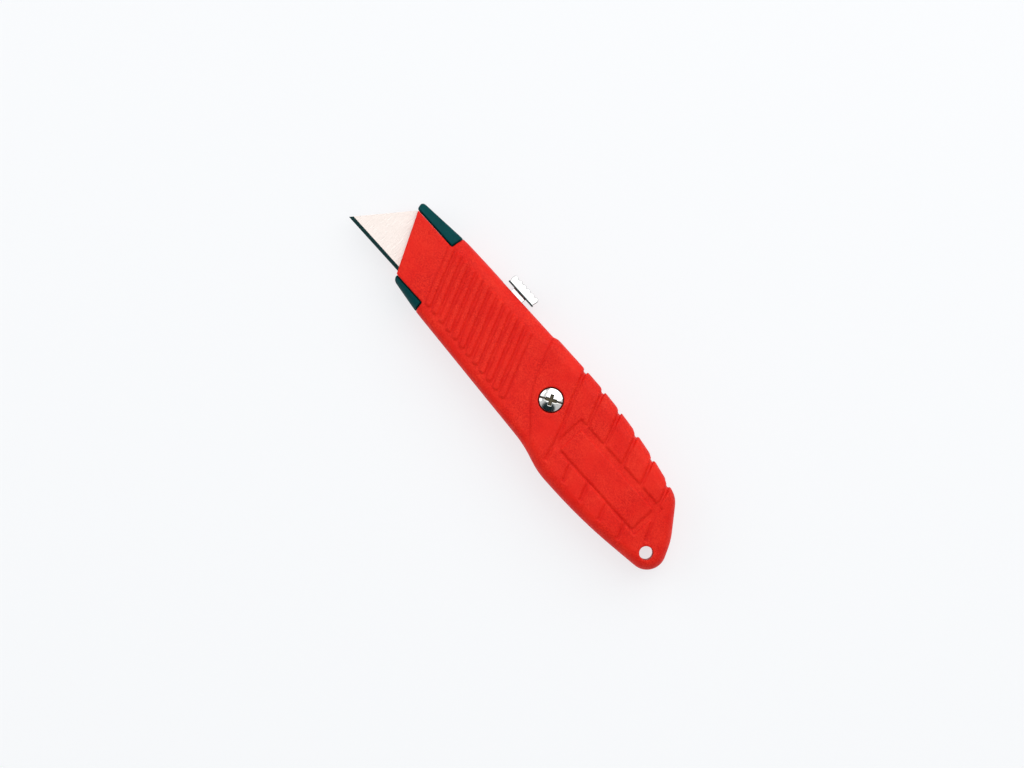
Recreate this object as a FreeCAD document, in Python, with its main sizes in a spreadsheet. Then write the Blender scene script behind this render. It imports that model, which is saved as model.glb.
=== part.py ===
"""Retractable utility knife: a two-part cast handle with a sliding blade, a thumb button and spare blades.

Drawing datum: the origin is the sharp tip of the extended blade, on the line of its cutting edge.
X runs towards the tail, Y towards the spine with the thumb button, Z across the handle, and z = 0 is
the plane where the two shells meet. The stored part is shifted so that its origin is the bottom centre
of its box, with the knife lying on its back shell.
"""
import FreeCAD, Part
import os
from math import atan2, cos, hypot, pi, radians, sin, tan

SIZES = {
    # overall box, in the drawing datum
    "overall_length": 160.65,
    "belly_y": -10.75,
    "button_top": 29.3,
    "half_thickness": 9.4,
    # cast shells
    "nose_half_thickness": 5.9,
    "tail_half_thickness": 7.2,
    "edge_round": 4.2,
    "wall": 2.3,
    "parting_gap": 0.05,
    "front_drop_z": 0.6,
    "front_drop_y": 0.7,
    "groove_depth_z": 0.55,
    "groove_depth_y": 0.9,
    "groove_width": 1.5,
    "ramp_run": 2.2,
    "ramp_depth": 0.75,
    "line_depth": 0.95,
    "rib_rise": 0.6,
    "rib_pitch": 3.68,
    "rib_width": 1.95,
    "rib_lean": 65.0,
    "tab_line_depth": 1.3,
    "bridge_front": 2.8,
    "bridge_back": 4.2,
    # clamp screw
    "screw_x": 93.5,
    "screw_y": 9.3,
    "screw_head_radius": 4.25,
    "screw_seat_z": 7.2,
    "screw_rim": 1.3,
    "screw_dome": 0.8,
    "screw_radius": 1.75,
    "screw_depth": 6.4,
    "counterbore_radius": 4.5,
    "boss_radius": 5.8,
    "post_radius": 2.9,
    # lanyard hole
    "lanyard_x": 154.4,
    "lanyard_y": -1.7,
    "lanyard_radius": 2.4,
    "lanyard_boss": 4.3,
    # dowel that lines the shells up at the tail
    "dowel_x": 147.3,
    "dowel_y": -4.9,
    "dowel_radius": 1.5,
    "dowel_rise": 1.5,
    "dowel_boss": 2.7,
    # blade
    "blade_length": 61.0,
    "blade_width": 19.0,
    "blade_thickness": 0.63,
    "blade_end_run": 14.2,
    "bevel_width": 1.3,
    "edge_thickness": 0.06,
    "notch_spacing": 12.7,
    "notch_width": 3.2,
    "notch_depth": 2.5,
    "blade_clearance": 0.12,
    # slide
    "travel": 27.0,
    "carrier_low_y": 2.5,
    "carrier_high_y": 18.9,
    "carrier_back": 2.4,
    "block_half": 2.6,
    "block_top": 21.1,
    "stud_radius": 1.2,
    "stud_below_back": 1.15,
    "stud_top": 0.25,
    # thumb button
    "stem_start": 56.4,
    "stem_end": 62.0,
    "stem_half": 1.4,
    "stem_bottom": 18.2,
    "button_under": 25.9,
    "button_front": 53.3,
    "button_rear": 65.5,
    "flange_half": 4.0,
    "flange_height": 0.5,
    "pad_half": 3.4,
    "lobe_radius": 1.05,
    "lobe_pitch": 2.0,
    "press": 1.2,
    "tooth_x": 58.0,
    "tooth_width": 2.4,
    "tooth_low": 19.8,
    "tooth_high": 22.3,
    "tooth_reach": 3.0,
    "running_gap": 0.2,
    "runner_start": 35.0,
    "runner_end": 88.0,
    "runner_width": 1.2,
    "pocket_floor": 15.8,
    "spring_half": 1.2,
    "spring_thickness": 0.3,
    "spring_gap": 0.03,
    # slot, track and rack in the spine
    "spine_under": 21.4,
    "track_floor": 24.3,
    "track_half": 4.3,
    "rack_pitch": 4.5,
    "rack_top": 22.6,
    # spare blades
    "spare_tip_x": 150.3,
    "spare_tip_y": 11.1,
    "spare_turn": 169.0,
    "spare_floor": 6.2,
    "spare_pitch": 0.65,
    "well_gap": 0.25,
    "well_wall": 1.0,
    "well_rim": 3.4,
    "clip_pin_x": 116.0,
    "clip_pin_y": -5.4,
    "clip_pin_radius": 1.2,
    "clip_thickness": 0.4,
}
SPARE_COUNT = 5
RIB_COUNT = 12
LOBE_COUNT = 6
BEYOND = 30.0      # reach of a cutting solid past the outside of the handle
CAST_START = -1.0  # the shells' raw block starts below the parting plane and is trimmed to it
NOTCH_COUNT = 7
CLIP_SEAT = f"Sizes.spare_floor - {SPARE_COUNT} * Sizes.spare_pitch"
INSIDE_TOP = "Sizes.half_thickness + 2"

doc = FreeCAD.newDocument("UtilityKnife")
sheet = doc.addObject("Spreadsheet::Sheet", "Sizes")


def fill_sheet():
    for row, (alias, value) in enumerate(SIZES.items(), start=1):
        sheet.set(f"A{row}", alias.replace("_", " "))
        sheet.set(f"B{row}", str(value))
        sheet.setAlias(f"B{row}", alias)
    doc.recompute()


def size(alias):
    """The value that the spreadsheet holds for one dimension, in millimetres or degrees."""
    return float(sheet.get(alias))


# ---------------------------------------------------------------- drawing helpers

def rounded(corners):
    """Lines and arcs of a closed outline. A corner is (x, y) or (x, y, radius)."""
    points = [FreeCAD.Vector(c[0], c[1], 0) for c in corners]
    radii = [c[2] if len(c) > 2 else 0.0 for c in corners]
    starts, ends, arcs = [], [], []
    for i, here in enumerate(points):
        before = (points[i - 1] - here).normalize()
        after = (points[(i + 1) % len(points)] - here).normalize()
        if not radii[i]:
            starts.append(here)
            ends.append(here)
            continue
        half = before.getAngle(after) / 2
        reach = radii[i] / tan(half)
        starts.append(here + before * reach)
        ends.append(here + after * reach)
        middle = here + (before + after).normalize() * (radii[i] / sin(half))
        angles = [atan2(p.y - middle.y, p.x - middle.x) for p in (starts[i], ends[i])]
        if before.cross(after).z > 0:
            angles.reverse()
        if angles[1] < angles[0]:
            angles[1] += 2 * pi
        circle = Part.Circle(middle, FreeCAD.Vector(0, 0, 1), radii[i])
        arcs.append(Part.ArcOfCircle(circle, *angles))
    lines = []
    for i, begin in enumerate(ends):
        finish = starts[(i + 1) % len(starts)]
        if (finish - begin).Length > 1e-6:
            lines.append(Part.LineSegment(begin, finish))
    return lines + arcs


def sketch(name, *outlines):
    """A sketch that holds one or more closed outlines."""
    drawn = doc.addObject("Sketcher::SketchObject", name)
    for corners in outlines:
        for shape in rounded(corners):
            drawn.addGeometry(shape, False)
    return drawn


def prism(name, outlines, low, high):
    """A solid with the given outlines between two heights, which are sheet expressions."""
    drawn = sketch(name + "Sketch", *outlines)
    drawn.setExpression("Placement.Base.z", low)
    solid = doc.addObject("Part::Extrusion", name)
    solid.Base = drawn
    solid.DirMode = "Custom"
    solid.Dir = FreeCAD.Vector(0, 0, 1)
    solid.Solid = True
    solid.FaceMakerClass = "Part::FaceMakerBullseye"
    solid.setExpression("LengthFwd", f"({high}) - ({low})")
    return solid


def side_prism(name, corners, low, high):
    """A solid whose outline is drawn in X and Z, between two values of Y."""
    drawn = sketch(name + "Sketch", corners)
    drawn.Placement.Rotation = FreeCAD.Rotation(FreeCAD.Vector(1, 0, 0), 90)
    drawn.setExpression("Placement.Base.y", low)
    solid = doc.addObject("Part::Extrusion", name)
    solid.Base = drawn
    solid.DirMode = "Custom"
    solid.Dir = FreeCAD.Vector(0, 1, 0)
    solid.Solid = True
    solid.setExpression("LengthFwd", f"({high}) - ({low})")
    return solid


def cylinder(name, x, y, radius, low, high):
    """A round solid along Z. Every argument after the name is a sheet expression."""
    solid = doc.addObject("Part::Cylinder", name)
    solid.setExpression("Placement.Base.x", x)
    solid.setExpression("Placement.Base.y", y)
    solid.setExpression("Placement.Base.z", low)
    solid.setExpression("Radius", radius)
    solid.setExpression("Height", f"({high}) - ({low})")
    return solid


def box(name, x, y, z):
    """A box between pairs of sheet expressions along X, Y and Z."""
    solid = doc.addObject("Part::Box", name)
    for axis, side, (low, high) in zip("xyz", ("Length", "Width", "Height"), (x, y, z)):
        solid.setExpression(f"Placement.Base.{axis}", low)
        solid.setExpression(side, f"({high}) - ({low})")
    return solid


def fuse(name, *solids):
    joined = doc.addObject("Part::MultiFuse", name)
    joined.Shapes = list(solids)
    return joined


def common(name, *solids):
    shared = doc.addObject("Part::MultiCommon", name)
    shared.Shapes = list(solids)
    return shared


def cut(name, base, *tools):
    result = doc.addObject("Part::Cut", name)
    result.Base = base
    result.Tool = tools[0] if len(tools) == 1 else fuse(name + "Tools", *tools)
    return result


def shifted(name, solid, y="0", z="0"):
    """A copy of a solid, moved along Y and Z by sheet expressions."""
    copy = doc.addObject("Part::Compound", name)
    copy.Links = [solid]
    copy.setExpression("Placement.Base.y", y)
    copy.setExpression("Placement.Base.z", z)
    return copy


def mirrored(name, solid):
    """A solid reflected in the parting plane."""
    copy = doc.addObject("Part::Mirroring", name)
    copy.Source = solid
    copy.Normal = FreeCAD.Vector(0, 0, 1)
    return copy


def node(name, solid):
    """Name a finished sub-part and stand it in the stored frame."""
    solid.Label = name
    solid.setExpression("Placement.Base.x", "-Sizes.overall_length / 2")
    solid.setExpression("Placement.Base.y", "-(Sizes.belly_y + Sizes.button_top) / 2")
    solid.setExpression("Placement.Base.z", "Sizes.half_thickness")
    return solid


def band(points, width):
    """The outline of a strip of constant width along a bent line."""
    left, right = [], []
    for i, (x, y) in enumerate(points):
        ahead = points[min(i + 1, len(points) - 1)]
        behind = points[max(i - 1, 0)]
        run = hypot(ahead[0] - behind[0], ahead[1] - behind[1])
        across = ((behind[1] - ahead[1]) / run * width / 2, (ahead[0] - behind[0]) / run * width / 2)
        left.append((x + across[0], y + across[1]))
        right.append((x - across[0], y - across[1]))
    return right + left[::-1]


# ---------------------------------------------------------------- outside of the shells

def handle_outline():
    """The silhouette of both shells, carried on past the nose. The crown is a long arc."""
    return [
        (8.0, -0.8), (39.2, -4.8, 100.0), (98.35, -7.94, 40.0), (108.76, -10.75, 30.0),
        (131.15, -10.75, 200.0), (164.2, -6.2, 6.6), (157.2, 7.4, 25.0), (147.2, 18.84, 9.0),
        (118.7, 25.2, 230.0), (46.0, 25.1, 300.0), (34.0, 24.95, 60.0), (8.0, 22.5),
    ]


def cast_block():
    """One half of the handle as a smooth block: silhouette, thickness profile and rounded rim."""
    plan = prism("PlanBlock", [handle_outline()], str(CAST_START), "Sizes.half_thickness + 3")
    tall, nose, tail = (size(s) for s in ("half_thickness", "nose_half_thickness", "tail_half_thickness"))
    profile = [
        (0.0, CAST_START), (170.0, CAST_START), (170.0, tail - 0.5), (138.0, tall, 80.0),
        (80.0, tall, 150.0), (8.0, nose), (0.0, nose - 0.4),
    ]
    side = side_prism("SideBlock", profile, "-20", "40")
    block = common("RoughBlock", plan, side)
    doc.recompute()
    rim = []
    for number, edge in enumerate(block.Shape.Edges, start=1):
        bounds = edge.BoundBox
        if bounds.ZMin > 4.0 and bounds.XLength > 0.05:
            rim.append((number, size("edge_round"), size("edge_round")))
    smooth = doc.addObject("Part::Fillet", "CastBlock")
    smooth.Base = block
    smooth.Edges = rim
    return smooth


def front_zone():
    """Everything ahead of the slanting step across the handle."""
    step = [
        (106.0, -14.0), (98.0, -4.0, 20.0), (90.0, 3.3, 30.0), (86.0, 8.0, 30.0), (80.0, 20.0, 60.0),
        (78.2, 25.0), (77.8, BEYOND), (0.0, BEYOND), (0.0, -14.0),
    ]
    return prism("FrontZone", [step], "-5", "Sizes.half_thickness + 5")


def rib_outlines():
    """Slanted grip ribs. Their lower ends follow the belly line."""
    lean = radians(size("rib_lean"))
    width = size("rib_width")
    top = 19.7
    outlines = []
    for i in range(RIB_COUNT):
        low = (40.9 + i * size("rib_pitch"), -0.3 - 0.21 * i)
        run = (top - low[1]) / tan(lean)
        outlines.append([
            (low[0] - width / 2, low[1], 0.6), (low[0] + width / 2, low[1], 0.6),
            (low[0] + width / 2 - run, top, 0.6), (low[0] - width / 2 - run, top, 0.6),
        ])
    return outlines


def groove_outlines():
    """Grip grooves that run from the spine to the frame of the label plate and on to the belly."""
    lines = [
        [(92.8, BEYOND), (94.7, 23.0), (98.0, 15.7), (101.0, 10.0), (103.4, 5.0), (105.0, 1.0),
         (107.6, -6.0)],
        [(101.2, BEYOND), (104.1, 23.0), (105.8, 19.0), (108.9, 12.2)],
        [(110.0, BEYOND), (113.2, 22.5), (117.5, 12.2)],
        [(119.4, BEYOND), (122.7, 21.8), (126.8, 12.2)],
        [(128.8, BEYOND), (132.1, 21.5), (136.2, 12.2)],
        [(137.9, BEYOND), (142.5, 19.0), (145.0, 13.0), (148.0, 7.0), (151.2, 0.8)],
        [(114.3, -0.4), (117.1, -6.4)],
        [(123.2, -0.4), (126.0, -6.6)],
        [(132.7, -0.4), (135.2, -6.4)],
        [(142.0, -0.4), (144.3, -6.0)],
    ]
    return [band(line, size("groove_width")) for line in lines]


def spine_ramps():
    """Gentle slopes on the nose side of the step and of each groove, where they cross the spine."""
    ramps = [prism("StepRamp", [[(77.9, 24.4), (80.4, 25.3), (80.4, BEYOND), (77.9, BEYOND)]], "-5", "20")]
    crossings = [
        (94.2, 25.25), (103.3, 25.05), (112.4, 24.45), (122.1, 23.35), (131.9, 22.0), (142.1, 19.95),
    ]
    depth, run = size("ramp_depth"), size("ramp_run")
    for i, (x, y) in enumerate(crossings):
        corners = [(x - run, y + depth / 3), (x, y - depth), (x, BEYOND), (x - run, BEYOND)]
        ramps.append(prism(f"GrooveRamp{i}", [corners], "-5", "20"))
    return ramps


def plate_frame():
    """The sunken frame around the blank label plate."""
    outer = [(105.2, -0.8), (147.2, -0.8), (147.2, 12.8), (105.2, 12.8)]
    plate = [(108.3, 0.4, 0.5), (144.7, 0.4, 0.5), (144.7, 10.1, 0.5), (108.3, 10.1, 0.5)]
    return prism("PlateFrame", [outer, plate], "2", "Sizes.half_thickness + 5")


def plate_line(block):
    """A narrow line cut deeper all round the label plate."""
    outer = [(107.8, -0.1, 0.9), (145.2, -0.1, 0.9), (145.2, 10.6, 0.9), (107.8, 10.6, 0.9)]
    inner = [(108.3, 0.4, 0.5), (144.7, 0.4, 0.5), (144.7, 10.1, 0.5), (108.3, 10.1, 0.5)]
    ring = prism("PlateLine", [outer, inner], "2", "Sizes.half_thickness + 5")
    return cut("PlateLineCut", ring, shifted("LineFloor", block, z="-Sizes.line_depth"))


def cast_skin(block):
    """The block with its relief: lowered front, grooves, plate frame and raised ribs."""
    lowered = shifted("LoweredBlock", block, "-Sizes.front_drop_y", "-Sizes.front_drop_z")
    excess = cut("FrontExcess", front_zone(), lowered)
    sunk = shifted("SunkBlock", block, "-Sizes.groove_depth_y", "-Sizes.groove_depth_z")
    grooves = []
    for i, outline in enumerate(groove_outlines()):
        grooves.append(prism(f"Groove{i}", [outline], "-5", "Sizes.half_thickness + 5"))
    relief = cut("GrooveRelief", fuse("GrooveBands", plate_frame(), *grooves), sunk)
    body = cut("ReliefBlock", block, excess, relief, plate_line(block), *spine_ramps())
    rib_tops = shifted("RibTops", block, "-Sizes.front_drop_y", "Sizes.rib_rise - Sizes.front_drop_z")
    ribs = common("Ribs", prism("RibBands", rib_outlines(), "3", "Sizes.half_thickness + 5"), rib_tops)
    return fuse("CastSkin", body, ribs)


# ---------------------------------------------------------------- inside of the shells

def cavity_outline():
    return [
        (34.0, -2.0, 1.0), (40.0, -2.6, 20.0), (97.5, -5.5, 20.0), (109.0, -8.3, 20.0),
        (131.0, -8.3, 150.0), (149.0, -5.8, 2.0), (155.6, 4.4, 2.0), (146.2, 17.2, 4.0),
        (118.0, 22.0, 150.0), (100.0, 21.4, 60.0), (34.0, 21.4, 1.0),
    ]


def spare_outline(margin):
    """The trapezoid of a spare blade as it lies in the handle, grown by a margin."""
    length, width, run = (size(s) for s in ("blade_length", "blade_width", "blade_end_run"))
    slant = hypot(run, width)
    side = margin * (slant + run) / width
    corners = [
        (-side, -margin), (length + side, -margin),
        (length - run + margin * (slant - run) / width, width + margin),
        (run - margin * (slant - run) / width, width + margin),
    ]
    turn = radians(size("spare_turn"))
    tip_x, tip_y = size("spare_tip_x"), size("spare_tip_y")
    return [
        (tip_x + x * cos(turn) - y * sin(turn), tip_y + x * sin(turn) + y * cos(turn))
        for x, y in corners
    ]


def nose_cuts(half):
    """What both shells leave open at the nose: the slanted mouth, the insert's seats and the blade slot."""
    mouth = [(-5.0, -15.0), (33.56, -15.0), (8.49, BEYOND), (-5.0, BEYOND)]
    upper = [(-5.0, 19.2), (31.7, 19.2), (32.55, 27.0), (-5.0, 27.0)]
    lower = [(15.0, -1.0), (38.9, -1.0), (40.2, -8.0), (15.0, -8.0)]
    slot = [(5.0, -0.4), (36.0, -0.4), (36.0, 19.3), (5.0, 19.3)]
    return [
        prism(half + "Mouth", [mouth], "-5", "Sizes.half_thickness + 5"),
        prism(half + "UpperSeat", [upper], "-5", "Sizes.half_thickness + 5"),
        prism(half + "LowerSeat", [lower], "-5", "Sizes.half_thickness + 5"),
        prism(half + "BladeSlot", [slot], "-5", "Sizes.blade_thickness / 2 + Sizes.blade_clearance"),
    ]


def spine_cuts(half):
    """The stem's slot and the sunken track under the thumb button."""
    slot = box(
        half + "StemSlot",
        ("Sizes.stem_start - 0.3", "Sizes.stem_end + Sizes.travel + 0.3"),
        ("Sizes.spine_under - 1", "30"),
        ("-5", "Sizes.stem_half + 0.25"),
    )
    track = box(
        half + "Track",
        ("Sizes.button_front - 1.2", "Sizes.button_rear + Sizes.travel + 1"),
        ("Sizes.track_floor", "30"),
        ("-5", "Sizes.track_half"),
    )
    return [slot, track]


def lanyard_cuts(half):
    through = cylinder(half + "LanyardHole", "Sizes.lanyard_x", "Sizes.lanyard_y",
                       "Sizes.lanyard_radius", "-5", "15")
    return [through]


def hollow(half, block):
    """The space inside one shell, a wall's thickness below its outside."""
    room = prism(half + "Room", [cavity_outline()], "-5", "Sizes.half_thickness")
    return common(half + "Cavity", room, shifted(half + "Lining", block, z="-Sizes.wall"))


def inner_limit(half, block):
    """Ribs and bosses stop inside the wall."""
    return shifted(half + "InnerLimit", block, z="-1")


def rail(name, y, end, low):
    """A straight rib inside a shell, under or over the slide."""
    return box(name, ("Sizes.runner_start", end), (y, f"{y} + Sizes.runner_width"), (low, INSIDE_TOP))


def front_shell(block, skin):
    top = INSIDE_TOP
    gap = "Sizes.parting_gap"
    blade_rib = "Sizes.blade_thickness / 2 + Sizes.blade_clearance"
    features = [
        cylinder("ScrewBoss", "Sizes.screw_x", "Sizes.screw_y", "Sizes.boss_radius", gap, top),
        cylinder("FrontLanyardBoss", "Sizes.lanyard_x", "Sizes.lanyard_y", "Sizes.lanyard_boss", gap, top),
        cylinder("DowelBoss", "Sizes.dowel_x", "Sizes.dowel_y", "Sizes.dowel_boss", gap, top),
        rail("LowerBladeRib", "4.5", "Sizes.runner_end - 4", blade_rib),
        rail("UpperBladeRib", "12.5", "50", blade_rib),
    ]
    inside = common("FrontFeatures", fuse("FrontRibs", *features), inner_limit("Front", block))
    walled = cut("FrontWalls", skin, hollow("Front", block))
    solid = fuse("FrontBody", walled, inside)
    tools = nose_cuts("Front") + spine_cuts("Front") + lanyard_cuts("Front") + [
        box("FrontTrim", ("-5", "175"), ("-20", "40"), ("-10", gap)),
        cylinder("Counterbore", "Sizes.screw_x", "Sizes.screw_y", "Sizes.counterbore_radius",
                 "Sizes.screw_seat_z", "20"),
        cylinder("ScrewHole", "Sizes.screw_x", "Sizes.screw_y", "Sizes.screw_radius + 0.4", "-5", "20"),
        cylinder("DowelHole", "Sizes.dowel_x", "Sizes.dowel_y", "Sizes.dowel_radius + 0.1",
                 "-5", "Sizes.dowel_rise + 0.5"),
    ]
    return node("front_shell", cut("FrontShell", solid, *tools))


def back_ribs():
    """Ribs, posts and the walls of the spare blades' well, all reaching up to the back shell's wall."""
    top = INSIDE_TOP
    gap = "Sizes.parting_gap"
    rest = "Sizes.carrier_back + 0.1"
    well = spare_outline(size("well_gap") + size("well_wall"))
    return fuse(
        "BackRibs",
        cylinder("ScrewPost", "Sizes.screw_x", "Sizes.screw_y", "Sizes.post_radius", gap, top),
        cylinder("BackLanyardBoss", "Sizes.lanyard_x", "Sizes.lanyard_y", "Sizes.lanyard_boss", gap, top),
        cylinder("DowelPost", "Sizes.dowel_x", "Sizes.dowel_y", "Sizes.dowel_boss", gap, top),
        cylinder("ClipPost", "Sizes.clip_pin_x", "Sizes.clip_pin_y", "2 * Sizes.clip_pin_radius",
                 CLIP_SEAT, top),
        rail("LowerRunner", "5", "Sizes.runner_end", rest),
        rail("UpperRunner", "13.2", "Sizes.runner_end", rest),
        rail("CarrierGuide", "Sizes.carrier_low_y - 1.5", "Sizes.runner_end", "0.6"),
        prism("WellWalls", [well], "Sizes.well_rim", top),
    )


def rack_notches():
    """The detents that the button's tooth drops into, one for each stop of the blade."""
    notches = []
    for i in range(NOTCH_COUNT):
        start = f"Sizes.tooth_x - 0.3 + {i} * Sizes.rack_pitch"
        end = f"Sizes.tooth_x + Sizes.tooth_width + 0.3 + {i} * Sizes.rack_pitch"
        notches.append(box(f"RackNotch{i}", (start, end), ("Sizes.spine_under - 0.5", "Sizes.rack_top"),
                           ("-5", "Sizes.tooth_reach + 0.25")))
    return notches


def back_shell(block, skin):
    """Built with its inside facing down, like the front shell, and then reflected."""
    inside = common("BackFeatures", back_ribs(), inner_limit("Back", block))
    walled = cut("BackWalls", skin, hollow("Back", block))
    solid = fuse("BackBody", walled, inside)
    channel = [(21.3, 19.2), (30.6, 2.1), (36.0, 2.1), (36.0, 19.2)]
    bridge_seat = [(26.85, -3.3), (33.15, -3.3), (33.15, 21.5), (26.85, 21.5)]
    tools = nose_cuts("Back") + spine_cuts("Back") + lanyard_cuts("Back") + rack_notches() + [
        box("BackTrim", ("-5", "175"), ("-20", "40"), ("-10", "Sizes.parting_gap")),
        cylinder("PostHole", "Sizes.screw_x", "Sizes.screw_y", "Sizes.screw_radius + 0.05",
                 "-5", "Sizes.screw_depth + 0.4"),
        prism("Well", [spare_outline(size("well_gap"))], "Sizes.well_rim - 0.8", "Sizes.spare_floor + 0.02"),
        prism("CarrierChannel", [channel], "-5", "Sizes.carrier_back + 0.2"),
        prism("BridgeSeat", [bridge_seat], "-5", "Sizes.bridge_back + 0.15"),
    ]
    pins = [
        cylinder("DowelPin", "Sizes.dowel_x", "Sizes.dowel_y", "Sizes.dowel_radius",
                 "-Sizes.dowel_rise", "3"),
        cylinder("ClipPin", "Sizes.clip_pin_x", "Sizes.clip_pin_y", "Sizes.clip_pin_radius",
                 f"{CLIP_SEAT} - 1", "5"),
    ]
    half = fuse("BackHalf", cut("BackOpened", solid, *tools), *pins)
    keep = box("BackLimit", ("-5", "175"), ("-20", "40"), ("-25", "5"))
    return node("back_shell", common("BackShell", mirrored("BackMirror", half), keep))


# ---------------------------------------------------------------- nose insert

def nose_lock(block):
    """Two tabs that fill the corners of the nose, joined by a bridge under the blade's channel."""
    upper_foot = [(14.0, 19.3, 0.9), (31.6, 19.3, 0.2), (32.1, 24.0, 0.2), (13.1, 22.25, 1.2)]
    lower_foot = [(25.95, -1.1, 0.3), (27.0, -3.2, 2.6), (39.5, -4.8, 0.2), (38.8, -1.1, 0.2)]
    upper_face = [(14.3, 19.7, 0.7), (31.2, 19.7, 0.2), (31.7, 24.0, 0.2), (13.1, 22.25, 1.2)]
    lower_face = [(25.95, -1.5, 0.3), (27.0, -3.2, 2.4), (39.1, -4.75, 0.2), (38.4, -1.5, 0.2)]
    low = str(CAST_START + 0.6)
    feet = common("TabFeet", prism("FootPlan", [upper_foot, lower_foot], low, "Sizes.half_thickness"),
                  shifted("FootBlock", block, z="-Sizes.front_drop_z - Sizes.tab_line_depth"))
    faces = common("TabFaces", prism("FacePlan", [upper_face, lower_face], low, "Sizes.half_thickness"),
                   shifted("FaceBlock", block, z="-Sizes.front_drop_z"))
    half = fuse("TabHalf", feet, faces)
    bridge = box("TabBridge", ("27", "33"), ("-3", "21.3"), ("-Sizes.bridge_back", "-Sizes.bridge_front"))
    return node("nose_lock", fuse("NoseLock", half, mirrored("TabMirror", half), bridge))


# ---------------------------------------------------------------- screw

def clamp_screw():
    """A domed head with a cross and a slot, on a plain shank that stands for the thread."""
    head_radius, rim, dome = (size(s) for s in ("screw_head_radius", "screw_rim", "screw_dome"))
    ball_radius = (head_radius ** 2 + dome ** 2) / (2 * dome)
    rim_disc = cylinder("HeadRim", "0", "0", "Sizes.screw_head_radius",
                        "Sizes.screw_seat_z", "Sizes.screw_seat_z + Sizes.screw_rim")
    cap_disc = cylinder("HeadBlank", "0", "0", "Sizes.screw_head_radius",
                        "Sizes.screw_seat_z + Sizes.screw_rim - 0.1",
                        "Sizes.screw_seat_z + Sizes.screw_rim + Sizes.screw_dome")
    ball = doc.addObject("Part::Sphere", "HeadBall")
    ball.Radius = ball_radius
    ball.Placement.Base.z = size("screw_seat_z") + rim + dome - ball_radius
    shank = cylinder("Shank", "0", "0", "Sizes.screw_radius", "-Sizes.screw_depth", "Sizes.screw_seat_z")
    solid = fuse("ScrewSolid", rim_disc, common("HeadCap", cap_disc, ball), shank)
    top = "Sizes.screw_seat_z + Sizes.screw_rim + Sizes.screw_dome"
    cross = [
        box("CrossLong", ("-2", "2"), ("-0.6", "0.6"), (f"{top} - 1.7", "12")),
        box("CrossWide", ("-0.6", "0.6"), ("-2", "2"), (f"{top} - 1.7", "12")),
        box("Slot", ("-5", "5"), ("-0.3", "0.3"), (f"{top} - 1.5", "12")),
    ]
    recessed = cut("ScrewRecessed", solid, *cross)
    stand = doc.addObject("Part::Compound", "ScrewStand")
    stand.Links = [recessed]
    stand.Placement.Rotation = FreeCAD.Rotation(FreeCAD.Vector(0, 0, 1), 31)
    stand.setExpression("Placement.Base.x", "Sizes.screw_x")
    stand.setExpression("Placement.Base.y", "Sizes.screw_y")
    keep = box("ScrewKeep", ("Sizes.screw_x - 6", "Sizes.screw_x + 6"),
               ("Sizes.screw_y - 6", "Sizes.screw_y + 6"), ("-20", "20"))
    return node("clamp_screw", common("ClampScrew", stand, keep))


# ---------------------------------------------------------------- blades

def blade_blank(name):
    """A trapezoid blade with two notches in its back and a double bevel along its edge."""
    length, width, run = (size(s) for s in ("blade_length", "blade_width", "blade_end_run"))
    plan = [(0.0, 0.0), (length, 0.0), (length - run, width), (run, width)]
    plate = prism(name + "Plate", [plan], "-Sizes.blade_thickness / 2", "Sizes.blade_thickness / 2")
    wedges = []
    outer, inner, bevel = size("blade_thickness") / 2, size("edge_thickness") / 2, size("bevel_width")
    for side, sign in (("Top", 1), ("Under", -1)):
        drawn = doc.addObject("Sketcher::SketchObject", f"{name}{side}Sketch")
        corners = [(-0.1, sign * inner), (bevel, sign * outer), (bevel, sign * 2), (-0.1, sign * 2)]
        for shape in rounded(corners[::sign]):
            drawn.addGeometry(shape, False)
        drawn.Placement.Rotation = FreeCAD.Rotation(FreeCAD.Vector(1, 1, 1), 120)
        drawn.Placement.Base.x = -1.0
        wedge = doc.addObject("Part::Extrusion", f"{name}{side}Bevel")
        wedge.Base = drawn
        wedge.DirMode = "Custom"
        wedge.Dir = FreeCAD.Vector(1, 0, 0)
        wedge.Solid = True
        wedge.setExpression("LengthFwd", "Sizes.blade_length + 2")
        wedges.append(wedge)
    notches = []
    half, depth = size("notch_width") / 2, size("notch_depth")
    for side in (-1, 1):
        middle = length / 2 + side * size("notch_spacing") / 2
        corners = [
            (middle - half, width - depth, half * 0.98), (middle + half, width - depth, half * 0.98),
            (middle + half, width + 1), (middle - half, width + 1),
        ]
        label = "Fore" if side < 0 else "Aft"
        notches.append(prism(f"{name}{label}Notch", [corners], "-1", "1"))
    return cut(name + "Blank", plate, *wedges, *notches)


def cutting_blade():
    blank = blade_blank("Cutter")
    keep = box("CutterKeep", ("-1", "65"), ("-1", "25"), ("-1", "1"))
    return node("cutting_blade", common("CuttingBlade", blank, keep))


def spare_blades():
    """The stack of spares, cutting edge towards the spine, lying on the floor of its well."""
    blank = blade_blank("Spare")
    blades = []
    for i in range(SPARE_COUNT):
        stand = doc.addObject("Part::Compound", f"SpareStand{i + 1}")
        stand.Links = [blank]
        stand.Placement.Rotation = FreeCAD.Rotation(FreeCAD.Vector(0, 0, 1), size("spare_turn"))
        stand.setExpression("Placement.Base.x", "Sizes.spare_tip_x")
        stand.setExpression("Placement.Base.y", "Sizes.spare_tip_y")
        stand.setExpression(
            "Placement.Base.z", f"Sizes.blade_thickness / 2 + {i} * Sizes.spare_pitch - Sizes.spare_floor"
        )
        keep = box(f"SpareKeep{i + 1}", ("80", "160"), ("-15", "30"), ("-9", "0"))
        blades.append(node(f"spare_blade_{i + 1}", common(f"SpareBlade{i + 1}", stand, keep)))
    return blades


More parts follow.
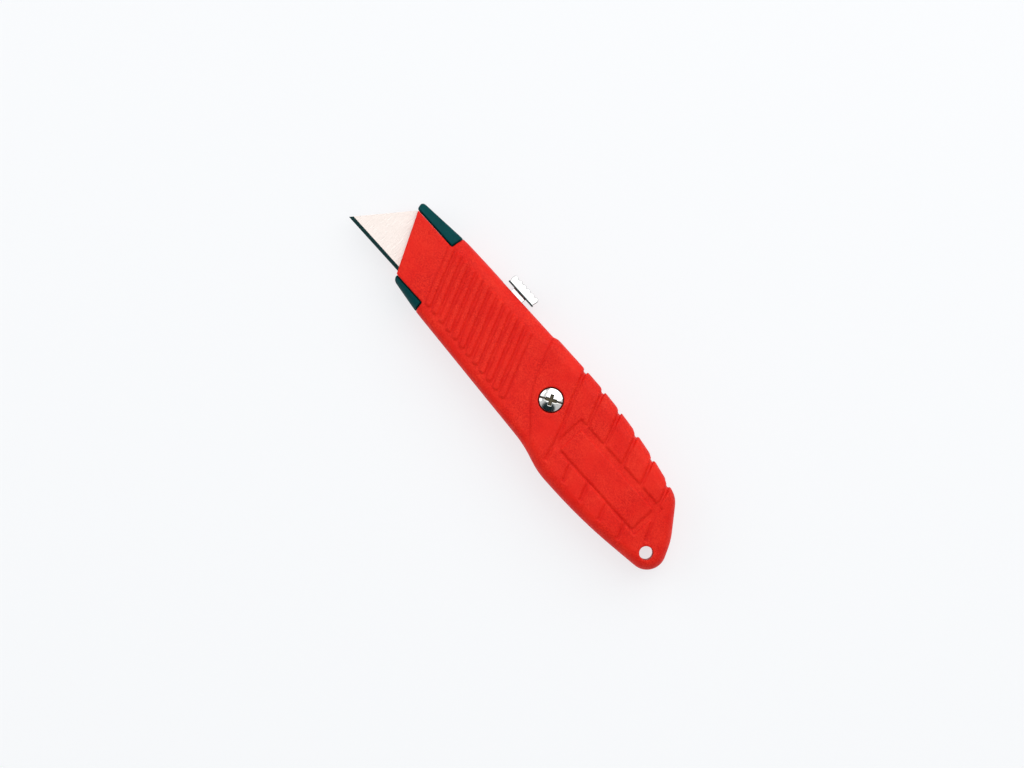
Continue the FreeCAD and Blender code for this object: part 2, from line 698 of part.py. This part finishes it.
def spare_blade_clip():
    """A sprung strip over the spare blades, held on a pin beside their well."""
    arm = [
        (112.6, -8.2, 1.0), (119.4, -8.2, 1.0), (119.4, -1.0, 3.0), (121.5, 3.0, 3.0), (121.5, 13.5, 2.6),
        (116.5, 13.5, 2.4), (116.5, 4.5, 4.0), (112.6, 1.0, 4.0),
    ]
    leaf = prism("ClipLeaf", [arm], f"0.05 - ({CLIP_SEAT})", f"0.05 - ({CLIP_SEAT}) + Sizes.clip_thickness")
    hole = cylinder("ClipHole", "Sizes.clip_pin_x", "Sizes.clip_pin_y",
                    "Sizes.clip_pin_radius + 0.1", "-5", "0")
    return node("spare_blade_clip", cut("SpareClip", leaf, hole))


# ---------------------------------------------------------------- slide

def blade_carrier():
    """A plate behind the blade with two studs for its notches, and a block that guides the button's stem."""
    plate_front = "-Sizes.blade_thickness / 2 - Sizes.blade_clearance"
    low, high = size("carrier_low_y"), size("carrier_high_y")
    plate_corners = [
        (22.0, high, 0.6), (31.0, low, 0.8), (60.5, low, 0.8), (60.5, 16.0), (54.0, high),
    ]
    top = size("block_top")
    block_corners = [(54.0, 14.3), (61.0, 14.3), (64.5, 16.0, 0.6), (64.5, top, 0.4), (54.0, top, 0.4)]
    window = [(40.0, 7.0, 2.4), (50.0, 7.0, 2.4), (50.0, 12.0, 2.4), (40.0, 12.0, 2.4)]
    plate = prism("CarrierPlate", [plate_corners, window], "-Sizes.carrier_back", plate_front)
    block = prism("CarrierBlock", [block_corners], "-Sizes.carrier_back", "Sizes.block_half")
    studs = []
    for side in (-1, 1):
        middle = size("blade_length") / 2 + side * size("notch_spacing") / 2
        label = "ForeStud" if side < 0 else "AftStud"
        studs.append(cylinder(label, str(middle), "Sizes.blade_width - Sizes.stud_below_back",
                              "Sizes.stud_radius", f"{plate_front} - 0.3", "Sizes.stud_top"))
    shoulder = cut("CarrierJoined", fuse("CarrierSolid", plate, block), box(
        "BladeRelief", ("40", "60.9"), ("0", "14.3"), (plate_front, "5")))
    pocket = box(
        "StemPocket",
        ("Sizes.stem_start - Sizes.running_gap", "Sizes.stem_end + Sizes.running_gap"),
        ("Sizes.pocket_floor", "25"),
        ("-Sizes.stem_half - Sizes.running_gap", "Sizes.stem_half + Sizes.running_gap"),
    )
    tooth_way = box(
        "ToothWay",
        ("Sizes.tooth_x - Sizes.running_gap", "Sizes.tooth_x + Sizes.tooth_width + Sizes.running_gap"),
        ("Sizes.tooth_low - Sizes.press - 0.2", "25"),
        ("-5", "0"),
    )
    opened = cut("CarrierOpened", shoulder, pocket, tooth_way)
    return node("blade_carrier", fuse("BladeCarrier", opened, *studs))


def button_spring():
    """A bowed leaf between the floor of the carrier's pocket and the foot of the stem."""
    middle = "(Sizes.stem_start + Sizes.stem_end) / 2"
    foot = "Sizes.pocket_floor + Sizes.spring_gap"
    bow = "Sizes.stem_bottom - Sizes.pocket_floor - 2 * Sizes.spring_gap"
    outer = cylinder("SpringOuter", middle, foot, bow, "-Sizes.spring_half", "Sizes.spring_half")
    inner = cylinder("SpringInner", middle, foot, f"{bow} - Sizes.spring_thickness", "-5", "5")
    upper = box("SpringUpper", ("50", "70"), (foot, "20"), ("-5", "5"))
    return node("button_spring", common("ButtonSpring", cut("SpringRing", outer, inner), upper))


def thumb_button():
    """A plated thumb pad with a scalloped top, a flange under it, a stem and a locking tooth."""
    front, rear = size("button_front"), size("button_rear")
    under, lobe = (size(s) for s in ("button_under", "lobe_radius"))
    lobe_y = size("button_top") - lobe
    pad = [
        (front + 0.5, under + 0.3), (rear - 0.6, under + 0.3), (rear + 0.1, lobe_y - 0.3, 1.0),
        (rear - 1.3, lobe_y + 0.3, 0.8), (front, lobe_y + 0.1, 0.6), (front + 0.2, under + 1.0, 1.0),
    ]
    solids = [prism("Pad", [pad], "-Sizes.pad_half", "Sizes.pad_half")]
    for i in range(LOBE_COUNT):
        x = f"Sizes.button_front + Sizes.lobe_radius + 0.05 + {i} * Sizes.lobe_pitch"
        solids.append(cylinder(f"Lobe{i}", x, "Sizes.button_top - Sizes.lobe_radius", "Sizes.lobe_radius",
                               "-Sizes.pad_half", "Sizes.pad_half"))
    solids.append(box("Flange", ("Sizes.button_front", "Sizes.button_rear"),
                      ("Sizes.button_under", "Sizes.button_under + Sizes.flange_height"),
                      ("-Sizes.flange_half", "Sizes.flange_half")))
    solids.append(box("Stem", ("Sizes.stem_start", "Sizes.stem_end"),
                      ("Sizes.stem_bottom", "Sizes.button_under + 0.2"),
                      ("-Sizes.stem_half", "Sizes.stem_half")))
    solids.append(box("Tooth", ("Sizes.tooth_x", "Sizes.tooth_x + Sizes.tooth_width"),
                      ("Sizes.tooth_low", "Sizes.tooth_high"), ("-Sizes.tooth_reach", "0")))
    return node("thumb_button", fuse("ThumbButton", *solids))


# ---------------------------------------------------------------- build, check, write

def check_document():
    for item in doc.Objects:
        bad = [s for s in item.State if s in ("Invalid", "Error")]
        if bad:
            raise RuntimeError(f"{item.Name} ({item.Label}) is {bad}")


def write(nodes):
    os.makedirs("parts", exist_ok=True)
    for item in nodes:
        shape = item.Shape
        if shape.isNull() or not shape.isValid() or shape.Volume <= 0:
            raise RuntimeError(f"{item.Label} has no valid shape")
        shape.exportStep(f"parts/{item.Label}.step")
        bounds = shape.BoundBox
        print(f"{item.Label:18s} solids {len(shape.Solids)} volume {shape.Volume:9.2f} "
              f"x {bounds.XMin:7.2f} {bounds.XMax:7.2f} y {bounds.YMin:7.2f} {bounds.YMax:7.2f} "
              f"z {bounds.ZMin:6.2f} {bounds.ZMax:6.2f}")


def main():
    fill_sheet()
    block = cast_block()
    skin = cast_skin(block)
    nodes = [front_shell(block, skin), back_shell(block, skin), nose_lock(block), clamp_screw()]
    nodes += [cutting_blade()] + spare_blades()
    nodes += [spare_blade_clip(), blade_carrier(), button_spring(), thumb_button()]
    doc.recompute()
    check_document()
    write(nodes)


main()
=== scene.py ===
"""Looks of the retractable utility knife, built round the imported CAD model.

Lengths are metres in the row frame, unless they are said to be in millimetres.
"""

from math import atan2, pi, radians

import bmesh
import bpy
from mathutils import Matrix, Vector


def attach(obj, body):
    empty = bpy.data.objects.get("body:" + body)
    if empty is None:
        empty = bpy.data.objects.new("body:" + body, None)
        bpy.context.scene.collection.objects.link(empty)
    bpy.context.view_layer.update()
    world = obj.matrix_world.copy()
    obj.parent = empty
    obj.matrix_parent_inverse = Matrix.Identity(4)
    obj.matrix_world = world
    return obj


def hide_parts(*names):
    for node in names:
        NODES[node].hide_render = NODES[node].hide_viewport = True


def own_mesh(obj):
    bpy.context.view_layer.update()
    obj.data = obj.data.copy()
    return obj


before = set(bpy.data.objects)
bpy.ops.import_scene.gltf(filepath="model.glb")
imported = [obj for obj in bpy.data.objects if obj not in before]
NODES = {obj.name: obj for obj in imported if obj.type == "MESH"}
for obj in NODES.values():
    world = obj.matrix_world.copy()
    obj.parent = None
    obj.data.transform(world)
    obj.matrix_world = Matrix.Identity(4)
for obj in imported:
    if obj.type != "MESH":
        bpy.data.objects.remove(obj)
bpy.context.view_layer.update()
MM = 0.001

# the knife is seen from straight above, turned so that its blade points to the upper left
VIEW_TURN = 47.9
VIEW_WIDTH = 353 * MM
VIEW_CENTRE = Vector((0.1, -6.2, 9.4)) * MM
LENS, SENSOR = 200.0, 36.0

FLOOR_HALF = 1.5
FLOOR_GLOW = 0.72
SKY_STRENGTH = 0.56

# the clamp screw in millimetres: its axis, the top of its domed head and the radius of that dome
SCREW_AXIS = (13.175, 0.025)
SCREW_TOP = 18.7
SCREW_BALL = 11.69
# its thread in millimetres: where it starts and ends, how it fades out, its pitch and its depth
THREAD_LOW, THREAD_HIGH = 3.2, 12.0
THREAD_FADE_LOW, THREAD_FADE_HIGH = 0.4, 0.6
THREAD_PITCH, THREAD_DEPTH = 0.8, 0.34
SHANK_INSIDE, SHANK_OUTSIDE = 1.3, 1.9
# the top side of the nose insert's lower tab in millimetres: its ends, its band and how far it is raised
TAB_ENDS = (-55.0, -40.0)
TAB_BAND = (-10.75, -10.0)
TAB_RAMP, TAB_RAISE = 0.3, 0.08


# ---------------------------------------------------------------- stage

def add_camera():
    """A long lens, so that the view from above is almost free of perspective."""
    data = bpy.data.cameras.new("camera")
    data.lens, data.sensor_width = LENS, SENSOR
    camera = bpy.data.objects.new("camera", data)
    bpy.context.collection.objects.link(camera)
    camera.location = VIEW_CENTRE + Vector((0, 0, VIEW_WIDTH * LENS / SENSOR))
    camera.rotation_euler = (0, 0, radians(VIEW_TURN))
    data.clip_start, data.clip_end = 0.01, 20
    bpy.context.scene.camera = camera


def area_light(name, toward, distance, size, power, tint=(1, 1, 1)):
    """A soft square light that faces the middle of the knife."""
    data = bpy.data.lights.new(name, "AREA")
    data.shape, data.size, data.energy, data.color = "SQUARE", size, power, tint
    light = bpy.data.objects.new(name, data)
    bpy.context.collection.objects.link(light)
    direction = Vector(toward).normalized()
    light.location = VIEW_CENTRE + direction * distance
    light.rotation_mode = "QUATERNION"
    light.rotation_quaternion = direction.to_track_quat("Z", "Y")
    light.visible_camera = False


def add_stage():
    mesh = bpy.data.meshes.new("floor")
    corners = [(FLOOR_HALF * x, FLOOR_HALF * y, 0) for x, y in ((-1, -1), (1, -1), (1, 1), (-1, 1))]
    mesh.from_pydata(corners, [], [(0, 1, 2, 3)])
    floor = bpy.data.objects.new("floor", mesh)
    bpy.context.collection.objects.link(floor)
    paint = Shader("pale_floor", (0.25, 0.252, 0.257), 0.0, 0.9)
    paint.set("Specular IOR Level", 0.05)
    paint.set("Emission Color", (0.97, 0.985, 1.0, 1))
    paint.set("Emission Strength", FLOOR_GLOW)
    mesh.materials.append(paint.material)


def add_light():
    """A soft studio: key and overhead lamps, a weak fill, and a pale surround with one dark corner."""
    world = bpy.data.worlds.new("studio")
    world.use_nodes = True
    tree = world.node_tree
    sky = tree.nodes["Background"]
    sky.inputs["Strength"].default_value = SKY_STRENGTH
    where = tree.nodes.new("ShaderNodeTexCoord")
    facing = tree.nodes.new("ShaderNodeVectorMath")
    facing.operation = "DOT_PRODUCT"
    facing.inputs[1].default_value = Vector((0.24, -0.44, 0.87)).normalized()
    tone = tree.nodes.new("ShaderNodeValToRGB")
    stops = ((0.905, (0.96, 0.98, 1.0, 1)), (0.94, (0.01, 0.03, 0.035, 1)))
    for element, (position, colour) in zip(tone.color_ramp.elements, stops):
        element.position, element.color = position, colour
    tree.links.new(where.outputs["Generated"], facing.inputs[0])
    tree.links.new(facing.outputs["Value"], tone.inputs["Fac"])
    tree.links.new(tone.outputs["Color"], sky.inputs["Color"])
    bpy.context.scene.world = world
    area_light("key", (-0.1, 0.85, 1.0), 1.1, 1.1, 6.6, (1.0, 0.975, 0.95))
    area_light("overhead", (-0.1, 0.1, 1.0), 1.5, 0.8, 2.6)
    area_light("fill", (-0.9, -0.3, 0.8), 1.3, 1.0, 3.4, (0.97, 0.99, 1.0))
    bpy.context.scene.view_settings.view_transform = "Standard"


# ---------------------------------------------------------------- materials

class Shader:
    """A small helper round one material's node tree."""

    def __init__(self, name, colour, metallic, roughness):
        self.material = bpy.data.materials.new(name)
        self.material.use_nodes = True
        self.tree = self.material.node_tree
        self.surface = self.tree.nodes["Principled BSDF"]
        self.set("Base Color", (*colour, 1))
        self.set("Metallic", metallic)
        self.set("Roughness", roughness)

    def set(self, socket, value):
        self.surface.inputs[socket].default_value = value

    def node(self, kind, **values):
        made = self.tree.nodes.new(kind)
        for key, value in values.items():
            setattr(made, key, value)
        return made

    def link(self, source, target):
        self.tree.links.new(source, target)

    def place(self, stretch=(1, 1, 1)):
        """Object coordinates in millimetres, stretched for grain."""
        where = self.node("ShaderNodeTexCoord")
        scale = self.node("ShaderNodeMapping")
        scale.inputs["Scale"].default_value = tuple(1000 * s for s in stretch)
        self.link(where.outputs["Object"], scale.inputs["Vector"])
        return scale.outputs["Vector"]

    def noise(self, place, scale, detail=3.0, rough=0.55):
        made = self.node("ShaderNodeTexNoise")
        made.inputs["Scale"].default_value = scale
        made.inputs["Detail"].default_value = detail
        made.inputs["Roughness"].default_value = rough
        self.link(place, made.inputs["Vector"])
        return made.outputs["Fac"]

    def ramp(self, value, *stops):
        """A colour ramp. Each stop is (position, colour)."""
        made = self.node("ShaderNodeValToRGB")
        elements = made.color_ramp.elements
        while len(elements) < len(stops):
            elements.new(1.0)
        for element, (position, colour) in zip(elements, stops):
            element.position = position
            element.color = (*colour, 1)
        self.link(value, made.inputs["Fac"])
        return made.outputs["Color"]

    def spread(self, value, low, high, to_low, to_high):
        made = self.node("ShaderNodeMapRange")
        limits = {"From Min": low, "From Max": high, "To Min": to_low, "To Max": to_high}
        for socket, number in limits.items():
            made.inputs[socket].default_value = number
        self.link(value, made.inputs["Value"])
        return made.outputs["Result"]

    def mix(self, share, first, second):
        made = self.node("ShaderNodeMix", data_type="RGBA")
        self.link(share, made.inputs["Factor"])
        self.link(first, made.inputs["A"])
        self.link(second, made.inputs["B"])
        return made.outputs["Result"]

    def facing_up(self):
        """One where the surface lies flat, nothing where it stands upright."""
        split = self.node("ShaderNodeSeparateXYZ")
        self.link(self.node("ShaderNodeNewGeometry").outputs["Normal"], split.inputs["Vector"])
        upright = self.node("ShaderNodeMath", operation="ABSOLUTE")
        self.link(split.outputs["Z"], upright.inputs[0])
        return upright.outputs["Value"]

    def sum_up(self, operation, first, second):
        made = self.node("ShaderNodeMath", operation=operation)
        self.link(first, made.inputs[0])
        self.link(second, made.inputs[1])
        return made.outputs["Value"]

    def bump(self, value, strength, depth, onto=None):
        made = self.node("ShaderNodeBump")
        made.inputs["Strength"].default_value = strength
        made.inputs["Distance"].default_value = depth
        self.link(value, made.inputs["Height"])
        if onto is not None:
            self.link(onto, made.inputs["Normal"])
        return made.outputs["Normal"]

    def connect(self, socket, value):
        self.link(value, self.surface.inputs[socket])


def cast_paint(name, deep, plain, patch_and_painted_edge_light, crease_shade, gloss):
    """Satin paint over a cast surface: fine grain, slow colour drift, painted shade in the creases and
    painted light on the high edges.

    The colours are those of the dark, middle and pale patches, and of the creases' painted shade; the
    pale colour is also painted onto the high edges as painted light.
    """
    s = Shader(name, plain, 0.0, 0.45)
    place = s.place()
    speck = s.mix(s.spread(s.noise(place, 1.9, 4.0, 0.7), 0.38, 0.62, 0.0, 1.0),
                  s.ramp(s.noise(place, 0.09, 2.0), (0.3, deep), (0.7, plain)),
                  s.ramp(s.noise(place, 0.13, 2.0), (0.3, plain), (0.7, patch_and_painted_edge_light)))
    # Painted shade: inward creases (low pointiness) take the crease colour. Painted light: sharp outward
    # edges (high pointiness) move toward the pale colour.
    edge = s.node("ShaderNodeNewGeometry").outputs["Pointiness"]
    crease = s.ramp(edge, (0.0, crease_shade), (1.0, crease_shade))
    shaded = s.mix(s.spread(edge, 0.455, 0.495, 0.9, 0.0), speck, crease)
    lit = s.spread(edge, 0.54, 0.64, 0.0, 0.35)
    s.connect("Base Color", s.mix(lit, shaded, s.ramp(edge, (0.0, patch_and_painted_edge_light), (1.0, patch_and_painted_edge_light))))
    s.connect("Roughness", s.spread(s.noise(place, 0.5, 3.0), 0.3, 0.7, 0.4, 0.55))
    grain = s.bump(s.noise(place, 2.2, 4.0, 0.65), 0.6, 0.00013)
    s.connect("Normal", s.bump(s.noise(place, 0.55, 2.0), 0.3, 0.0002, grain))
    s.set("Specular IOR Level", gloss)
    return s.material


def plated(name, colour, roughness, level, shade_colour, mask):
    """Bright nickel plate with faint pits and uneven polish, greyed by painted shade on its flanks and
    darkened by painted shade within a mask.

    A surface is a flank below the first `level` and none above the second, where one is flat.
    `mask` takes the shader and the place in millimetres, and gives the share of the painted shade
    colour.
    """
    s = Shader(name, colour, 1.0, roughness)
    place = s.place()
    wear = s.noise(place, 0.8, 3.0)
    s.connect("Roughness", s.spread(wear, 0.3, 0.7, roughness * 0.7, roughness * 1.5))
    polish = s.ramp(s.noise(place, 0.35), (0.25, tuple(0.92 * c for c in colour)), (0.75, colour))
    # Painted shade: upright flanks are greyed, and the places the mask gives are darkened.
    flank = s.ramp(s.noise(place, 0.5), (0.3, (0.22, 0.23, 0.23)), (0.7, (0.34, 0.35, 0.35)))
    painted_shade = s.ramp(s.noise(place, 1.2), (0.3, shade_colour), (0.7, tuple(1.8 * c for c in shade_colour)))
    edged = s.mix(s.spread(s.facing_up(), *level, 1.0, 0.0), polish, flank)
    s.connect("Base Color", s.mix(mask(s, place), edged, painted_shade))
    s.connect("Normal", s.bump(s.noise(place, 3.0, 2.0), 0.12, 0.00003))
    return s.material


def button_flange(s, place):
    """Painted shade on the thin flange under the thumb pad, between two values of Y."""
    split = s.node("ShaderNodeSeparateXYZ")
    s.link(place, split.inputs["Vector"])
    above = s.spread(split.outputs["Y"], 16.55, 16.65, 0.0, 1.0)
    below = s.spread(split.outputs["Y"], 17.15, 17.3, 1.0, 0.0)
    return s.sum_up("MULTIPLY", above, below)


def under_screw_dome(s, place):
    """Painted shade in the cross and the slot of the clamp screw, which lie under its head's dome, and
    on the head's rim.
    """
    split = s.node("ShaderNodeSeparateXYZ")
    offset = s.node("ShaderNodeVectorMath", operation="SUBTRACT")
    s.link(place, offset.inputs[0])
    offset.inputs[1].default_value = (*SCREW_AXIS, SCREW_TOP)
    s.link(offset.outputs["Vector"], split.inputs["Vector"])
    squares = [s.sum_up("MULTIPLY", split.outputs[axis], split.outputs[axis]) for axis in "XY"]
    outward = s.sum_up("ADD", *squares)
    dome = s.spread(outward, 0.0, 20 * SCREW_BALL, 0.0, -10.0)
    depth = s.sum_up("SUBTRACT", dome, split.outputs["Z"])
    sunk = s.sum_up("MULTIPLY", s.spread(depth, 0.18, 0.4, 0.0, 1.0),
                    s.spread(depth, 1.9, 2.2, 1.0, 0.0))
    return s.sum_up("MAXIMUM", sunk, s.spread(outward, 15.4, 16.6, 0.0, 1.0))


def brushed(name, colour, roughness, across=(0.12, 6.0, 1.0)):
    """Steel with a fine grain along one direction."""
    s = Shader(name, colour, 1.0, roughness)
    grain = s.noise(s.place(across), 1.0, 3.0, 0.7)
    s.connect("Roughness", s.spread(grain, 0.3, 0.7, roughness * 0.8, roughness * 1.3))
    s.connect("Base Color", s.ramp(grain, (0.2, tuple(0.86 * c for c in colour)), (0.8, colour)))
    s.connect("Normal", s.bump(grain, 0.2, 0.00003))
    return s.material


def blade_steel(name, colour, bevel_reflection_colour):
    """Bright blade steel with grinding lines across it. The bevel's slope is darker than the flat, a
    painted dark reflection.
    """
    s = Shader(name, colour, 0.9, 0.3)
    grain = s.noise(s.place((7.0, 0.25, 1.0)), 1.0, 3.0, 0.7)
    flat = s.ramp(grain, (0.2, tuple(0.93 * c for c in colour)), (0.8, colour))
    # Painted reflection: the bevel's slope takes a dark colour, as if mirroring dark surroundings.
    slope = s.spread(s.facing_up(), 0.985, 0.995, 1.0, 0.0)
    dark = s.ramp(grain, (0.2, tuple(0.8 * c for c in bevel_reflection_colour)), (0.8, bevel_reflection_colour))
    s.connect("Base Color", s.mix(slope, flat, dark))
    s.connect("Roughness", s.spread(grain, 0.3, 0.7, 0.24, 0.4))
    s.connect("Normal", s.bump(grain, 0.12, 0.00002))
    return s.material


# ---------------------------------------------------------------- meshes

def to_object(name, mesh):
    piece = bpy.data.objects.new(name, mesh)
    bpy.context.collection.objects.link(piece)
    return piece


def threaded(point):
    """Cut a thread into the plain part of the clamp screw's shank. The point is in millimetres."""
    axis = Vector((*SCREW_AXIS, 0.0))
    out = Vector((point.x, point.y, 0.0)) - axis
    on_shank = SHANK_INSIDE <= out.length <= SHANK_OUTSIDE
    if not (on_shank and THREAD_LOW < point.z < THREAD_HIGH):
        return point
    turns = point.z / THREAD_PITCH - atan2(out.y, out.x) / (2 * pi)
    flank = abs((turns % 1.0) * 2 - 1)
    above = (point.z - THREAD_LOW) / THREAD_FADE_LOW
    below = (THREAD_HIGH - point.z) / THREAD_FADE_HIGH
    return point - out.normalized() * (THREAD_DEPTH * flank * min(1.0, below, above))


def snug(point):
    """Close the gap along the top of the nose insert's lower tab. The point is in millimetres."""
    if not (TAB_ENDS[0] < point.x < TAB_ENDS[1] and TAB_BAND[0] < point.y < TAB_BAND[1]):
        return point
    raised = TAB_RAISE * min(1.0, (point.y - TAB_BAND[0]) / TAB_RAMP)
    return point + Vector((0.0, raised, 0.0))


def evaluated_mesh(piece):
    """The mesh that the piece's modifiers give."""
    return bpy.data.meshes.new_from_object(piece.evaluated_get(bpy.context.evaluated_depsgraph_get()))


def closed_copy(node):
    """The node's mesh in millimetres, with its doubled points joined."""
    mesh = NODES[node].data.copy()
    mesh.materials.clear()
    mesh.transform(Matrix.Scale(1 / MM, 4))
    joined = bmesh.new()
    joined.from_mesh(mesh)
    bmesh.ops.remove_doubles(joined, verts=joined.verts, dist=0.0005)
    joined.to_mesh(mesh)
    joined.free()
    return mesh


def soft_edged(node, name, voxel, rounds, faces, shape=None):
    """The CAD shape as one even skin with soft edges: remeshed, smoothed, reshaped and thinned.

    Sizes are in millimetres. `faces` is the most triangles it keeps, and `shape` moves single points.
    """
    rough = to_object(name + "_rough", closed_copy(node))
    remesh = rough.modifiers.new("skin", "REMESH")
    remesh.mode, remesh.voxel_size, remesh.adaptivity = "VOXEL", voxel, 0.0
    smooth = rough.modifiers.new("soften", "SMOOTH")
    smooth.factor, smooth.iterations = 0.5, rounds
    skin = evaluated_mesh(rough)
    triangles = sum(len(p.vertices) - 2 for p in skin.polygons)
    rough.modifiers.clear()
    rough.data = skin
    if shape is not None:
        for vertex in skin.vertices:
            vertex.co = shape(vertex.co)
    if triangles > faces:
        thin = rough.modifiers.new("thin", "DECIMATE")
        thin.ratio = faces / triangles
        skin = evaluated_mesh(rough)
    bpy.data.objects.remove(rough)
    skin.transform(Matrix.Scale(MM, 4))
    skin.name = name
    skin.shade_smooth()
    return to_object(name, skin)


def stand_in(piece, node, body, material):
    piece.data.materials.clear()
    piece.data.materials.append(material)
    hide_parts(node)
    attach(piece, body)


def dress(node, material):
    """Give a CAD node that stays as it is its material."""
    slots = NODES[node].material_slots
    if not slots:
        NODES[node].data.materials.append(material)
    for held in slots:
        held.material = material


def build():
    # Each paint: dark, middle and pale patch colours, the pale one also painted onto high edges as
    # painted light; then the crease colour, which is painted shade; then the gloss.
    red = cast_paint("red_paint", (0.60, 0.005, 0.004), (0.80, 0.016, 0.008), (0.86, 0.036, 0.016),
                     (0.60, 0.005, 0.004), 0.12)
    teal = cast_paint("nose_paint", (0.0008, 0.038, 0.044), (0.0012, 0.066, 0.068),
                      (0.0015, 0.052, 0.055), (0.0003, 0.006, 0.007), 0.05)
    # Each plate's dark colour is painted shade, laid by its mask: on the flange under the thumb pad, in
    # the screw's cross and slot, and round its head's rim.
    bright = plated("bright_plate", (0.74, 0.74, 0.73), 0.16, (0.88, 0.995), (0.03, 0.04, 0.04),
                    button_flange)
    screw_plate = plated("screw_plate", (0.98, 0.98, 0.94), 0.12, (0.48, 0.88), (0.035, 0.031, 0.02),
                         under_screw_dome)
    # The blade's second colour is the painted dark reflection on its bevel.
    blade = blade_steel("blade_steel", (0.71, 0.635, 0.595), (0.025, 0.09, 0.09))
    carrier = brushed("carrier_steel", (0.62, 0.61, 0.58), 0.35)
    spring = brushed("spring_steel", (0.42, 0.43, 0.45), 0.3)
    shell = soft_edged("front_shell", "front_shell_cast", 0.3, 4, 190000)
    stand_in(shell, "front_shell", "cover", red)
    shell = soft_edged("back_shell", "back_shell_cast", 0.3, 4, 190000)
    stand_in(shell, "back_shell", "handle", red)
    nose = soft_edged("nose_lock", "nose_lock_cast", 0.16, 4, 90000, snug)
    stand_in(nose, "nose_lock", "handle", teal)
    screw = soft_edged("clamp_screw", "clamp_screw_turned", 0.08, 3, 120000, threaded)
    stand_in(screw, "clamp_screw", "screw", screw_plate)
    button = soft_edged("thumb_button", "thumb_button_formed", 0.1, 10, 90000)
    stand_in(button, "thumb_button", "button", bright)
    holder = soft_edged("blade_carrier", "blade_carrier_formed", 0.13, 3, 90000)
    stand_in(holder, "blade_carrier", "slider", carrier)
    dress("cutting_blade", blade)
    for name in NODES:
        if name.startswith("spare_blade_") and name != "spare_blade_clip":
            dress(name, blade)
    dress("spare_blade_clip", spring)
    leaf = soft_edged("button_spring", "button_spring_leaf", 0.06, 1, 20000)
    stand_in(leaf, "button_spring", "slider", spring)
    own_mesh(leaf)


add_camera()
add_stage()
add_light()
build()
